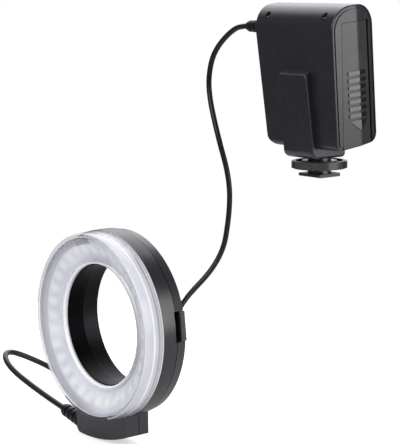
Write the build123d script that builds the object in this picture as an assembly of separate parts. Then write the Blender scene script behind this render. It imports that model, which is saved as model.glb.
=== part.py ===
"""Macro ring flash: a ring head on a lens adapter, a control unit on a hot-shoe foot, and the cord between them.

Millimetres. The origin is the middle of the foot's underside. -Y runs forward along the lens, +X is the side of
the battery door and +Z is up. The ring head lies in front of the foot and below it, round the lens's axis.
The control unit is drawn upright and then leans forward about X. The ring head is drawn with its axis on Y,
from 0 at its front rim backwards, and then moved to the lens.
"""
from build123d import *
import math
import os

# Hot-shoe foot, pressure plate and locking wheel
FOOT_WIDTH = 18.6
FOOT_DEPTH = 18.0
FOOT_THICK = 2.0
FOOT_CORNER = 1.2
RAIL_GAP = 2.1
STEM_RADIUS = 7.0
STEM_SOCKET = 4.0
PLATE_SIDE = 17.4
PLATE_THICK = 0.8
WHEEL_RADIUS = 16.8
WHEEL_THICK = 4.6
WHEEL_STEP = 0.9
WHEEL_LOBES = 4
WHEEL_LOBE_ANGLE = 44.0
WHEEL_TEETH = 10
WHEEL_TOOTH = 0.45
WHEEL_DISH = 1.4
WHEEL_HUB = 10.5
PIN_RADIUS = 1.3
PIN_PROUD = 0.6
PIN_HEAD = 2.0
RUNNING = 0.08
SEATED = 0.02

# Control unit's case
LEAN = 5.5
UNIT_FRONT = -12.0
UNIT_BACK = 21.2
UNIT_BASE = 18.6
UNIT_TOP = 102.8
BASE_RISE = 1.8
DOOR_SIDE_BASE = 31.4
DOOR_SIDE_TOP = 34.0
CORD_SIDE_BASE = 32.8
CORD_SIDE_TOP = 37.3
CREASE = 6.8
CREASE_RADIUS = 8.0
FRONT_DROP = 1.7
REAR_DROP = 1.85
ARCH_FRONT = 15.0
ARCH_REAR = 13.0
HEEL_RADIUS = 6.0
TOE_RADIUS = 3.6
SIDE_CORNER = 12.5
RIM_RADIUS = 1.0
WALL = 2.0
SPLIT = 16.6
SPLIT_GAP = 0.35
CHANNEL_IN = 0.9
CHANNEL_WIDTH = 1.6
CHANNEL_DEPTH = 0.6

# Spine on the front, running down into the neck
SPINE_TOP = 61.7
SPINE_FRONT = -23.0
SPINE_SHOULDER = (-17.3, 65.4)
SPINE_ROOT = -12.9
SPINE_HALF = 11.9
NECK_HALF = 13.1
NECK_BOTTOM = 12.0
NECK_TOP = 20.0
NECK_FRONT = -17.2
NECK_BACK = 9.5
NECK_TOE = 5.0
SPINE_EDGE = 1.4

# Battery door and its hinge pin, along the sloping side
DOOR_TOP = 74.6
DOOR_FRONT_TOP = -4.6
DOOR_FRONT_BASE = -7.4
DOOR_GAP = 0.25
DOOR_SLIDE = 4.5
DOOR_OPENING = 4.0
HINGE_RADIUS = 2.0
HINGE_LUG = 1.3
HINGE_PIN = 0.8
LUG_ARM = 1.1
KNUCKLES = ((60.0, 70.0), (34.0, 44.0))
LUGS = ((48.0, 54.9), (20.0, 28.0))
PIN_SPAN = (17.0, 72.0)
GRIP_RIBS = 7
GRIP_PITCH = 4.15
GRIP_RIB = 2.3
GRIP_TOP = 45.8
GRIP_FRONT = -1.6
GRIP_BACK = 12.0
GRIP_PROUD = 0.6

# Battery bay
CELL_RADIUS = 7.1
CELL_LENGTH = 49.2
CELL_NUB_RADIUS = 2.75
CELL_NUB = 1.3
CELL_PITCH = 15.4
CELL_COUNT = 4
CELL_DEPTH = 4.6
CELL_LOWEST = 32.4
CELL_LEFT = -25.0
TRAY_BORE = 7.3
TRAY_WALL = 0.8
TRAY_END = 1.4
TRAY_FEET = (-21.0, 9.0)
TRAY_FOOT = 4.0
CONTACT_THICK = 0.4
CONTACT_SIDE = 9.0
CONTACT_GAP = 0.25

# Boards, capacitor and rear panel
BOARD_THICK = 1.6
BOARD_POST = 1.8
MAIN_BOARD_DEPTH = -8.4
MAIN_BOARD_HALF = 26.0
MAIN_BOARD_SPAN = (26.0, 86.0)
CONTROL_BOARD_THICK = 1.2
SWITCH_HEIGHT = 1.1
SWITCH_GAP = 0.1
CONTROL_BOARD_HALF = 24.0
CONTROL_BOARD_SPAN = (34.0, 88.0)
CAPACITOR_RADIUS = 4.8
CAPACITOR_LENGTH = 28.0
PANEL_HALF = 25.0
PANEL_SPAN = (36.0, 88.0)
PANEL_THICK = 1.0
PANEL_CORNER = 4.0
KEY_PROUD = 0.9
KEY_GAP = 0.25
KEY_TRAVEL = 0.6
KEY_FLANGE = 0.8
KEYS = {
    "power_key": (-15.0, 46.0, 5.0),
    "mode_key": (15.0, 46.0, 4.2),
    "test_key": (15.0, 66.0, 4.2),
    "minus_key": (-15.0, 66.0, 4.2),
    "plus_key": (0.0, 66.0, 4.2),
}
LAMP_COUNT = 7
LAMP_PITCH = 6.0
LAMP_RADIUS = 1.1
LAMP_DROP = 8.0

# Case screws in the front's two slanting wells
SCREW_MIDDLE = -1.7
SCREW_APART = 49.4
SCREW_DROP = 5.4
WELL_RADIUS = 2.0
WELL_FLOOR = -4.0
BOSS_RADIUS = 3.9
SCREW_HEAD = 1.8
SCREW_SHANK = 1.4

# Ring head, from its front rim backwards
RING_FRONT = -170.8
RING_AXIS = -67.9
THREAD_RADIUS = 38.5
THREAD_LENGTH = 4.0
ADAPTER_RADIUS = THREAD_RADIUS + 3.6
ADAPTER_BORE = THREAD_RADIUS - 4.1
ADAPTER_GROOVE = ADAPTER_RADIUS - 1.4
ADAPTER_FRONT = 19.6
GROOVE_FRONT = 21.2
GROOVE_BACK = 22.8
RECESS_RADIUS = ADAPTER_RADIUS + 0.4
RECESS_WALL = 2.1
BORE_RADIUS = THREAD_RADIUS - 4.7
TUBE_RADIUS = BORE_RADIUS - 0.5
TUBE_WALL = 1.9
TUBE_FRONT = 9.4
HEAD_RADIUS = RECESS_RADIUS + 9.5
HEAD_REAR = HEAD_RADIUS - 1.0
HEAD_DEPTH = 27.0
SEAM = 20.6
FLOOR_FRONT = 17.6
FLOOR_BACK = 19.4
COVER_RADIUS = HEAD_RADIUS - 0.05
COVER_DEPTH = 11.5
RIM = HEAD_RADIUS - 0.9
DISH_DEPTH = 6.9
DISH_RIM = HEAD_RADIUS - 3.2
DISH_MIDDLE = BORE_RADIUS + 8.2
LEDGE_INNER = HEAD_RADIUS - 5.4
LEDGE_OUTER = HEAD_RADIUS - 2.5
LEDGE_BACK = 14.7
BOARD_FRONT = 10.2
BOARD_BACK = 11.7
BOARD_INNER = BORE_RADIUS + 2.4
BOARD_OUTER = LEDGE_OUTER - 0.1
CLIP_COUNT = 6
CLIP_TURN = -12.0
CLIP_HALF = 6.4
CLIP_GAP = 0.3
CLIP_FRONT = 8.4
CLIP_INNER = BOARD_OUTER - 3.5
CLIP_LEG = BOARD_OUTER - 2.4
LED_COUNT = 32
LED_CIRCLE = BORE_RADIUS + 8.3
LED_SIDE = 5.0
LED_THICK = 1.5
LED_TURN = -1.0
TRAY_WINDOW = 5.6
TRAY_FRONT = 5.4

# Release slides: each button's plate goes round the bore to its hook on the far side
BUTTON_TURN = 6.0
BUTTON_TRAVEL = 1.8
BUTTON_HALF = 8.0
BUTTON_FRONT = 23.5
BUTTON_BACK = 26.9
BUTTON_FACE = HEAD_RADIUS - 0.5
BUTTON_BOTTOM = HEAD_RADIUS - 5.3
BUTTON_RIBS = 9
BUTTON_GAP = 0.3
BUTTON_RECESS = 19.4
SLIDE_THICK = 1.1
SLIDE_INNER = RECESS_RADIUS - 5.1
SLIDE_OUTER = RECESS_RADIUS + 0.7
SLIDE_LEVELS = {"release_slide_right": 16.2, "release_slide_left": 14.9}
LEG_INNER = 5.4
LEG_OUTER = 8.4
LEG_BACK = RECESS_RADIUS + 5.2
HOOK_HALF = 4.0
HOOK_INNER = RECESS_RADIUS + 0.5
HOOK_OUTER = RECESS_RADIUS + 2.0
HOOK_NOSE = ADAPTER_GROOVE + 0.4
RELEASE_SPRING = 1.0
RELEASE_WIRE = 0.35

# Block under the ring
BLOCK_RIGHT = 16.5
BLOCK_LEFT = -30.6
BLOCK_BOTTOM = -HEAD_RADIUS - 15.3
BLOCK_SIDE_BOTTOM = -HEAD_RADIUS - 9.0
BLOCK_CORNER = 4.0
HEAD_SCREW_RADIUS = 1.5
HEAD_SCREW_SHANK = 0.8
HEAD_SCREW_FACE = 0.4
HEAD_SCREW_DEEP = 16.0
HEAD_SCREW_ANGLES = (30.0, 150.0, 210.0, 330.0)
HEAD_SCREW_CIRCLE = HEAD_RADIUS - 4.9
HEAD_BOSS = 1.5

# Cord and its two strain reliefs
CORD_RADIUS = 1.7
CORD_BEND = 0.45
SLEEVE_ROOT = 2.4
SLEEVE_TIP = 0.84
UNIT_SLEEVE_DEPTH = -5.0
UNIT_SLEEVE_HEIGHT = 89.9
UNIT_SLEEVE_LENGTH = 13.4
UNIT_SLEEVE_RADIUS = 4.0
UNIT_SLEEVE_RIBS = 3
HEAD_SLEEVE_Y = 15.5
HEAD_SLEEVE_Z = -HEAD_RADIUS - 10.0
HEAD_SLEEVE_RISE = 10.0
HEAD_SLEEVE_LENGTH = 19.0
HEAD_SLEEVE_RADIUS = 4.4
HEAD_SLEEVE_RIBS = 4
HEAD_SLEEVE_RUN = 26.0

UNIT = Rot(LEAN, 0, 0)
UNIT_RISE = UNIT_TOP - UNIT_BASE
SCREW_HEIGHT = UNIT_TOP - SCREW_DROP
LAMP_HEIGHT = PANEL_SPAN[1] - LAMP_DROP
DOOR_TAPER = (DOOR_SIDE_TOP - DOOR_SIDE_BASE) / UNIT_RISE
CORD_TAPER = (CORD_SIDE_TOP - CORD_SIDE_BASE) / UNIT_RISE
FRONT_SLOPE = FRONT_DROP / (CREASE - UNIT_FRONT)
REAR_SLOPE = REAR_DROP / (UNIT_BACK - CREASE)
UNIT_SLEEVE_BASE = (0.1 + (CREASE - UNIT_SLEEVE_DEPTH) * FRONT_SLOPE
                    - CORD_SIDE_BASE - CORD_TAPER * (UNIT_SLEEVE_HEIGHT - UNIT_BASE))
UNIT_SLEEVE = Pos(UNIT_SLEEVE_BASE, UNIT_SLEEVE_DEPTH, UNIT_SLEEVE_HEIGHT) * Rot(0, 0, 90)
HEAD_SLEEVE = Pos(BLOCK_LEFT + 1.0, HEAD_SLEEVE_Y, HEAD_SLEEVE_Z) * Rot(0, HEAD_SLEEVE_RISE, 0) * Rot(0, 0, 90)
HEAD = Pos(0, RING_FRONT, RING_AXIS)
BUTTONS = HEAD * Rot(0, -BUTTON_TURN, 0)
SIDE = Pos(DOOR_SIDE_BASE, 0, UNIT_BASE) * Rot(0, math.degrees(math.atan(DOOR_TAPER)), 0)
CORD_SIDE = Pos(CORD_SIDE_BASE, 0, UNIT_BASE) * Rot(0, math.degrees(math.atan(CORD_TAPER)), 0)
HINGE_DEPTH = SPLIT - SPLIT_GAP - HINGE_RADIUS
HINGE_X = -(HINGE_DEPTH - CREASE) * REAR_SLOPE - HINGE_RADIUS
KEY_BACK = UNIT_BACK - WALL - 0.05
BUTTON_MIDDLE = (BUTTON_FRONT + BUTTON_BACK) / 2
SWITCH_FACE = KEY_BACK - KEY_FLANGE - KEY_TRAVEL - SWITCH_GAP
CONTROL_FACE = SWITCH_FACE - SWITCH_HEIGHT
ADAPTER_BACK = HEAD_DEPTH + 0.2
TRAY_CLOSED = CELL_LEFT - CONTACT_GAP - CONTACT_THICK
TRAY_OPEN = CELL_LEFT + CELL_LENGTH + CELL_NUB
WHEEL_BOTTOM = FOOT_THICK + RAIL_GAP + PLATE_THICK + 0.05
BLOCK_LOW = -7.0
FAR = 60.0


def outline(corners):
    """A closed face through (x, y, corner radius) rows."""
    points = [(x, y) for x, y, radius in corners]
    radii = [radius for x, y, radius in corners]
    return make_face(FilletPolyline(*points, radius=radii, close=True))


def along_x(sketch, x0, x1):
    """A sketch drawn in y and z, from x0 to x1."""
    return extrude(Plane.YZ.offset(x0) * sketch, x1 - x0)


def along_y(sketch, y0, y1):
    """A sketch drawn in x and z, from y0 to y1."""
    return extrude(Plane.XZ.offset(-y1) * sketch, y1 - y0)


def along_z(sketch, z0, z1):
    """A sketch drawn in x and y, from z0 to z1."""
    return extrude(Plane.XY.offset(z0) * sketch, z1 - z0)


def span(x0, x1, y0, y1, z0, z1):
    """A box between two corners."""
    middle = Pos((x0 + x1) / 2, (y0 + y1) / 2, (z0 + z1) / 2)
    return middle * Box(x1 - x0, y1 - y0, z1 - z0)


def ring(profile):
    """A body turned about Y from (radius, y) points."""
    return revolve(make_face(Polyline(*profile, close=True)), Axis.Y)


def rod_y(radius, x, z, y0, y1):
    """A round rod along Y."""
    return along_y(Pos(x, z) * Circle(radius), y0, y1)


def coil(radius, wire, length, turns):
    """A compression spring along Z, as one unbroken wire."""
    path = Helix(pitch=length / turns, height=length, radius=radius)
    section = Plane(origin=path @ 0, z_dir=path % 0) * Circle(wire)
    return sweep(section, path)


def sleeve_seat(radius):
    """What a strain relief's root fills in its wall."""
    edge = radius * 0.9 + SEATED
    return ring([(0, -SLEEVE_ROOT - 1), (edge, -SLEEVE_ROOT - 1), (edge, 3), (0, 3)])


def sleeve(length, radius, ribs):
    """A ribbed strain relief along Y from its flange at 0, tapering to the cord."""
    tip = radius * SLEEVE_TIP
    pitch = length / (ribs + 0.5)
    half = pitch * 0.3
    core = [(0, -SLEEVE_ROOT), (radius * 0.9, -SLEEVE_ROOT), (radius * 0.9, 0), (tip * 0.82, length), (0, length)]
    body = ring(core)
    for rib in range(ribs):
        middle = pitch * (rib + 0.75)
        edge = radius + (tip - radius) * middle / length
        body += ring([(0, middle - half - 0.3), (edge, middle - half), (edge, middle + half), (0, middle + half + 0.3)])
    return body


# Hot-shoe foot


def shoe_foot():
    """The foot's plate and the stem that the wheel turns on."""
    side = FOOT_WIDTH / 2
    half = FOOT_DEPTH / 2
    plate = along_z(RectangleRounded(FOOT_WIDTH, FOOT_DEPTH, FOOT_CORNER), 0, FOOT_THICK)
    ramp = make_face(Polyline((-half, 0), (-half + 1.2, 0), (-half, 0.5), close=True))
    lead = along_x(ramp, -side, side)
    stem = along_z(Circle(STEM_RADIUS), FOOT_THICK, NECK_BOTTOM + STEM_SOCKET)
    bore = along_z(Circle(PIN_RADIUS + RUNNING), -1, FOOT_THICK)
    seat = along_z(Circle(PIN_HEAD + RUNNING), FOOT_THICK - 0.4, FOOT_THICK + 6)
    return plate - lead + stem - bore - seat


def sync_pin():
    """The sprung centre contact."""
    return along_z(Circle(PIN_RADIUS), -PIN_PROUD, FOOT_THICK - 0.4) + along_z(
        Circle(PIN_HEAD), FOOT_THICK - 0.4, FOOT_THICK + 0.6)


def pin_spring():
    """The centre contact's spring, up inside the stem."""
    low = FOOT_THICK + 0.6 + 0.25
    return Pos(0, 0, low) * coil(1.3, 0.22, FOOT_THICK + 5.7 - low, 4)


def pressure_plate():
    """The square plate that the wheel drives down on the shoe's rails."""
    low = FOOT_THICK + RAIL_GAP
    plate = along_z(RectangleRounded(PLATE_SIDE, PLATE_SIDE, FOOT_CORNER), low, low + PLATE_THICK)
    return plate - along_z(Circle(STEM_RADIUS + RUNNING), low - 1, low + PLATE_THICK + 1)


def locking_wheel():
    """The wheel: four knurled lobes and a dished top."""
    low = WHEEL_BOTTOM
    high = low + WHEEL_THICK
    inner = WHEEL_RADIUS - WHEEL_STEP
    wheel = along_z(Circle(inner), low, high)
    for lobe in range(WHEEL_LOBES):
        middle = 45.0 + lobe * 360.0 / WHEEL_LOBES
        half = math.radians(WHEEL_LOBE_ANGLE / 2)
        reach = WHEEL_RADIUS * 2
        wedge = make_face(Polyline((0, 0), (reach, -reach * math.tan(half)), (reach, reach * math.tan(half)),
                                   close=True))
        disc = Circle(WHEEL_RADIUS - WHEEL_TOOTH)
        wheel += Rot(0, 0, middle) * along_z(wedge & disc, low + 0.3, high - 0.3)
        for tooth in range(WHEEL_TEETH):
            turn = middle + WHEEL_LOBE_ANGLE * ((tooth + 0.5) / WHEEL_TEETH - 0.5)
            bar = span(inner - 1, WHEEL_RADIUS, -0.33, 0.33, low + 0.3, high - 0.3)
            wheel += Rot(0, 0, turn) * bar
    dish = along_z(Circle(inner - 1.6) - Circle(WHEEL_HUB), high - WHEEL_DISH, high + 1)
    bore = along_z(Circle(STEM_RADIUS + RUNNING), low - 1, high + 1)
    return wheel - dish - bore


# Control unit's case


def side_profile(inset):
    """The case seen from the side, in depth and height, drawn in by inset."""
    front = UNIT_FRONT + inset
    back = UNIT_BACK - inset
    base = UNIT_BASE + inset
    top = UNIT_TOP - inset
    return outline([
        (front, base, max(TOE_RADIUS - inset, 0.5)),
        (back, base + BASE_RISE, HEEL_RADIUS - inset),
        (back, top, ARCH_REAR - inset),
        (front, top, ARCH_FRONT - inset),
    ])


def facet_section(inset):
    """What lies outside a side's two facets, drawn in by inset, in that side's own axes."""
    front = UNIT_FRONT - 6
    back = UNIT_BACK + 6
    section = outline([
        (-inset - (CREASE - front) * FRONT_SLOPE, front, 0),
        (-inset, CREASE, CREASE_RADIUS),
        (-inset - (back - CREASE) * REAR_SLOPE, back, 0),
        (14, back, 0),
        (14, front, 0),
    ])
    return along_z(section, -FAR / 3, 2 * FAR)


def facet_cutter(inset):
    """What lies outside the door's side, in unit coordinates."""
    return SIDE * facet_section(inset)


def cord_side_cutter(inset):
    """What lies outside the cord's side, in unit coordinates."""
    return mirror(CORD_SIDE * facet_section(inset), about=Plane.YZ)


def corner_cutter(inset):
    """What lies outside the rounded corner at the foot of the -X side."""
    radius = SIDE_CORNER - inset
    x = -CORD_SIDE_BASE + SIDE_CORNER - 0.3
    z = UNIT_BASE + SIDE_CORNER
    quarter = Pos(x - SIDE_CORNER, z - SIDE_CORNER) * Rectangle(2 * SIDE_CORNER, 2 * SIDE_CORNER)
    return along_y(quarter - Pos(x, z) * Circle(radius), -FAR, FAR)


def rim_edges(body):
    """The edges where the sides meet the case's outline."""
    found = []
    for face in body.faces():
        if abs(face.normal_at().X) < 0.9:
            continue
        for edge in face.edges():
            if abs((edge % 0.5).Z) > 0.95 and abs(edge.center().Y - CREASE) < 3:
                continue
            found.append(edge)
    return found


def unit_block(inset, rim=0.0):
    """The case as one solid, drawn in by inset, its side rims rounded by rim."""
    reach = CORD_SIDE_TOP + 6
    body = along_x(side_profile(inset), -reach, reach) - facet_cutter(inset) - cord_side_cutter(inset)
    if rim:
        body = fillet(rim_edges(body), rim)
    return body - corner_cutter(inset)


def channels():
    """The sunk line that runs round each side just inside its rim."""
    line = side_profile(CHANNEL_IN) - side_profile(CHANNEL_IN + CHANNEL_WIDTH)
    band = along_x(line, -FAR, FAR)
    return (band & facet_cutter(CHANNEL_DEPTH)) + (band & cord_side_cutter(CHANNEL_DEPTH))


def spine_and_neck():
    """The raised spine and the neck below it, as one bracket shape, in the foot's own upright axes."""
    profile = outline([
        (SPINE_FRONT, SPINE_TOP, 2.0),
        (NECK_FRONT, NECK_BOTTOM, NECK_TOE),
        (NECK_BACK, NECK_BOTTOM, 2.5),
        (NECK_BACK, NECK_TOP, 0),
        (SPINE_ROOT, NECK_TOP, 0),
        (SPINE_SHOULDER[0], SPINE_SHOULDER[1], 0),
    ])
    sides = outline([
        (-NECK_HALF, NECK_BOTTOM - 1, 0),
        (NECK_HALF, NECK_BOTTOM - 1, 0),
        (SPINE_HALF, SPINE_SHOULDER[1] + 1, 0),
        (-SPINE_HALF, SPINE_SHOULDER[1] + 1, 0),
    ])
    bracket = along_x(profile, -NECK_HALF - 1, NECK_HALF + 1) & along_y(sides, -FAR, FAR)
    middle = (SPINE_ROOT + SPINE_SHOULDER[0]) / 2
    edges = [e for e in bracket.edges() if abs(e.center().X) > SPINE_HALF - 1 and e.center().Y < SPINE_ROOT - 1]
    return fillet([e for e in edges if abs(e.center().Y - middle) > 0.4], SPINE_EDGE)


def door_outline(gap):
    """The door's outline on the +X side, drawn in by gap."""
    return outline([
        (DOOR_FRONT_BASE + gap, -6, 0),
        (SPLIT - gap, -6, 0),
        (SPLIT - gap, DOOR_TOP - gap, 0),
        (DOOR_FRONT_TOP + gap, DOOR_TOP - gap, 1.2),
    ])


def side_wall(thick):
    """The outermost layer of the +X side."""
    return unit_block(0, RIM_RADIUS) & facet_cutter(thick)


def barrel(low, high, radius):
    """A length of the door's hinge, in the side's own axes."""
    return along_z(Pos(HINGE_X, HINGE_DEPTH) * Circle(radius), low, high)


def screw_places():
    """The two case screws' places across the case."""
    return [SCREW_MIDDLE - SCREW_APART / 2, SCREW_MIDDLE + SCREW_APART / 2]


def screw_bosses():
    """The two posts behind the front's screw wells."""
    posts = None
    for x in screw_places():
        post = rod_y(BOSS_RADIUS, x, SCREW_HEIGHT, UNIT_FRONT + 5, SPLIT)
        posts = post if posts is None else posts + post
    return posts


def screw_wells():
    """The wells and clearance holes through the front shell."""
    holes = None
    for x in screw_places():
        hole = rod_y(WELL_RADIUS, x, SCREW_HEIGHT, UNIT_FRONT - 2, WELL_FLOOR)
        hole += rod_y(SCREW_SHANK + 0.15, x, SCREW_HEIGHT, WELL_FLOOR, SPLIT)
        holes = hole if holes is None else holes + hole
    return holes


def unit_shell():
    """Both shells in one, before they are parted."""
    outer = unit_block(0, RIM_RADIUS)
    bosses = screw_bosses() & outer
    shell = outer - unit_block(WALL) - channels()
    return shell + bosses


def unit_front_shell(shell):
    """The front shell, open towards the door and the back."""
    front = shell & span(-FAR, FAR, -FAR, SPLIT, -FAR, 2 * FAR)
    opening = SIDE * along_x(door_outline(0), -WALL - DOOR_OPENING, 12)
    front += board_posts(MAIN_BOARD_HALF, MAIN_BOARD_SPAN, UNIT_FRONT + WALL - 0.5, MAIN_BOARD_DEPTH)
    front -= opening
    front -= screw_wells()
    front = UNIT * (front - UNIT_SLEEVE * sleeve_seat(UNIT_SLEEVE_RADIUS))
    inside = UNIT * unit_block(WALL)
    front += spine_and_neck() - inside
    stem = along_z(Circle(STEM_RADIUS + SEATED), NECK_BOTTOM - 1, NECK_BOTTOM + STEM_SOCKET)
    wires = along_z(Circle(2.5), NECK_BOTTOM, NECK_BOTTOM + 12)
    return front - stem - wires


def unit_rear_shell(shell):
    """The shallow back cover, with the panel's seat and the two hinge lugs."""
    rear = shell & span(-FAR, FAR, SPLIT, FAR, -FAR, 2 * FAR)
    seat = along_y(panel_outline(0), UNIT_BACK - PANEL_THICK, UNIT_BACK + 1)
    rear -= seat
    rear += board_posts(CONTROL_BOARD_HALF, CONTROL_BOARD_SPAN, CONTROL_FACE, UNIT_BACK - WALL + 0.5)
    for x, height, radius in KEYS.values():
        rear -= rod_y(radius + KEY_GAP, x, height, SPLIT, UNIT_BACK + 1)
    for x in lamp_places():
        rear -= rod_y(LAMP_RADIUS, x, LAMP_HEIGHT, SPLIT, UNIT_BACK + 1)
    for x in screw_places():
        rear -= rod_y(SCREW_SHANK + SEATED, x, SCREW_HEIGHT, SPLIT - 1, UNIT_BACK - 0.8)
    for low, high in LUGS:
        rear += SIDE * lug(low, high)
    return UNIT * rear


def lug(low, high):
    """One lug of the hinge: its arm passes inside the door's edge, which swings round it, to the back cover."""
    front = HINGE_DEPTH - HINGE_LUG
    inner = HINGE_X - HINGE_RADIUS - 0.15 - LUG_ARM
    arm = outline([
        (HINGE_X, front, 0),
        (inner, front, 0),
        (inner, UNIT_BACK - WALL + 0.4, 0),
        (inner + LUG_ARM, UNIT_BACK - WALL + 0.4, 0),
        (inner + LUG_ARM, HINGE_DEPTH - 0.45, 0),
        (HINGE_X, HINGE_DEPTH - 0.45, 0),
    ])
    body = barrel(low, high, HINGE_LUG) + along_z(arm, low, high)
    return body - barrel(low - 1, high + 1, HINGE_PIN + RUNNING)


def battery_door():
    """The ribbed door with its rounded hinge edge and its two knuckles."""
    panel = SIDE.inverse() * side_wall(WALL) & along_x(door_outline(DOOR_GAP), -WALL - 4.0, 12)
    edge = span(HINGE_X, 6, HINGE_DEPTH, SPLIT + 1, -10, 90)
    panel -= edge - barrel(-10, 90, HINGE_RADIUS)
    for low, high in KNUCKLES:
        panel += barrel(low, high, HINGE_RADIUS)
    for low, high in LUGS:
        panel -= barrel(low - 0.3, high + DOOR_SLIDE + 0.3, HINGE_LUG + 0.1)
    panel -= barrel(PIN_SPAN[0] - 1, PIN_SPAN[1] + 1, HINGE_PIN + RUNNING)
    return UNIT * SIDE * (panel + door_grip())


def grip_section(low, high):
    """The grip's raised layer over both facets, between two heights."""
    drop_front = (CREASE - GRIP_FRONT) * FRONT_SLOPE
    drop_back = (GRIP_BACK - CREASE) * REAR_SLOPE
    section = make_face(Polyline(
        (-drop_front - 0.8, GRIP_FRONT), (-0.8, CREASE), (-drop_back - 0.8, GRIP_BACK),
        (-drop_back + GRIP_PROUD, GRIP_BACK), (GRIP_PROUD - 0.1, CREASE),
        (-drop_front + GRIP_PROUD, GRIP_FRONT), close=True))
    return along_z(section, low, high)


def door_grip():
    """Seven ribs, then a triangle that points the way the door slides."""
    grip = None
    for rib in range(GRIP_RIBS):
        top = GRIP_TOP - rib * GRIP_PITCH
        bar = grip_section(top - GRIP_RIB, top)
        grip = bar if grip is None else grip + bar
    top = GRIP_TOP - GRIP_RIBS * GRIP_PITCH
    point = top - 1.6 * GRIP_PITCH
    arrow = make_face(Polyline((GRIP_FRONT, top), (GRIP_BACK, top), (CREASE, point), close=True))
    return grip + (grip_section(point, top) & along_x(arrow, -8, 8))


def door_pin():
    """The hinge pin that slides down with the door."""
    return UNIT * SIDE * barrel(PIN_SPAN[0], PIN_SPAN[1], HINGE_PIN)


# Battery bay


def cell_heights():
    """The four cells' heights, lowest first."""
    return [CELL_LOWEST + cell * CELL_PITCH for cell in range(CELL_COUNT)]


def rod_x(radius, y, z, x0, x1):
    """A round rod along X."""
    return along_x(Pos(y, z) * Circle(radius), x0, x1)


def battery_tray():
    """Four tubes side by side, closed at the -X end."""
    half = TRAY_BORE + TRAY_WALL
    low = CELL_LOWEST - half
    high = CELL_LOWEST + (CELL_COUNT - 1) * CELL_PITCH + half
    tray = span(TRAY_CLOSED - TRAY_END, TRAY_OPEN, CELL_DEPTH - half, CELL_DEPTH + half, low, high)
    room = unit_block(WALL + 0.05)
    for x in TRAY_FEET:
        tray += span(x, x + TRAY_FOOT, CELL_DEPTH - half, CELL_DEPTH + half, UNIT_BASE, low + 1) & room
    for height in cell_heights():
        tray -= rod_x(TRAY_BORE, CELL_DEPTH, height, TRAY_CLOSED, TRAY_OPEN + 1)
    return UNIT * tray


def battery_cells():
    """Four cells, turned end for end by turns."""
    cells = []
    for index, height in enumerate(cell_heights()):
        start = CELL_LEFT if index % 2 else CELL_LEFT + CELL_NUB
        can = rod_x(CELL_RADIUS, CELL_DEPTH, height, start, start + CELL_LENGTH)
        nub = start + CELL_LENGTH if index % 2 else start - CELL_NUB
        can += rod_x(CELL_NUB_RADIUS, CELL_DEPTH, height, nub, nub + CELL_NUB)
        cells.append(UNIT * can)
    return cells


def contact(low, high, x):
    """One contact leaf between two heights."""
    side = CONTACT_SIDE / 2
    return UNIT * span(x, x + CONTACT_THICK, CELL_DEPTH - side, CELL_DEPTH + side, low - side, high + side)


def cell_contacts():
    """The leaf at the closed end of each tube."""
    return [contact(height, height, TRAY_CLOSED) for height in cell_heights()]


def door_contacts():
    """Two leaves on the door, each joining two cells."""
    heights = cell_heights()
    return [contact(heights[pair], heights[pair + 1], TRAY_OPEN + CONTACT_GAP) for pair in (0, 2)]


def door_pads():
    """The ribs inside the door that carry its two contact leaves."""
    right = TRAY_OPEN + CONTACT_GAP + CONTACT_THICK
    pads = None
    for height in cell_heights():
        pad = span(right, DOOR_SIDE_TOP, CELL_DEPTH - 3, CELL_DEPTH + 3, height - 1.2, height + 1.2)
        pads = pad if pads is None else pads + pad
    return UNIT * (pads - facet_cutter(WALL - 0.4))


def board_posts(half, heights, d0, d1):
    """Four posts that carry a board, two at each height."""
    posts = None
    for x in (-half + 2 * BOARD_POST, half - 2 * BOARD_POST):
        for height in (heights[0] + 2 * BOARD_POST, heights[1] - 2 * BOARD_POST):
            post = rod_y(BOARD_POST, x, height, d0, d1)
            posts = post if posts is None else posts + post
    return posts


def main_board():
    """The driver board at the front of the case."""
    low, high = MAIN_BOARD_SPAN
    return UNIT * span(-MAIN_BOARD_HALF, MAIN_BOARD_HALF, MAIN_BOARD_DEPTH, MAIN_BOARD_DEPTH + BOARD_THICK, low, high)


def control_board():
    """The board behind the keys."""
    low, high = CONTROL_BOARD_SPAN
    return UNIT * span(-CONTROL_BOARD_HALF, CONTROL_BOARD_HALF, CONTROL_FACE - CONTROL_BOARD_THICK, CONTROL_FACE,
                       low, high)


def capacitor():
    """The storage capacitor, lying on top of the tray."""
    top = CELL_LOWEST + (CELL_COUNT - 1) * CELL_PITCH + TRAY_BORE + TRAY_WALL
    half = CAPACITOR_LENGTH / 2
    return UNIT * rod_x(CAPACITOR_RADIUS, CELL_DEPTH - 1, top + CAPACITOR_RADIUS + 0.1, -half, half)


# Rear panel


def panel_outline(inset):
    """The control panel, in x and height."""
    low, high = PANEL_SPAN
    middle = Pos(0, (low + high) / 2)
    return middle * RectangleRounded(2 * (PANEL_HALF - inset), high - low - 2 * inset, PANEL_CORNER - inset)


def lamp_places():
    """The lamps' places across the panel."""
    return [(lamp - (LAMP_COUNT - 1) / 2) * LAMP_PITCH for lamp in range(LAMP_COUNT)]


def control_panel():
    """The thin panel in its seat, with a hole for each key and lamp."""
    panel = along_y(panel_outline(0.1), UNIT_BACK - PANEL_THICK, UNIT_BACK)
    for x, height, radius in KEYS.values():
        panel -= rod_y(radius + KEY_GAP, x, height, SPLIT, UNIT_BACK + 1)
    for x in lamp_places():
        panel -= rod_y(LAMP_RADIUS, x, LAMP_HEIGHT, SPLIT, UNIT_BACK + 1)
    return UNIT * panel


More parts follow.
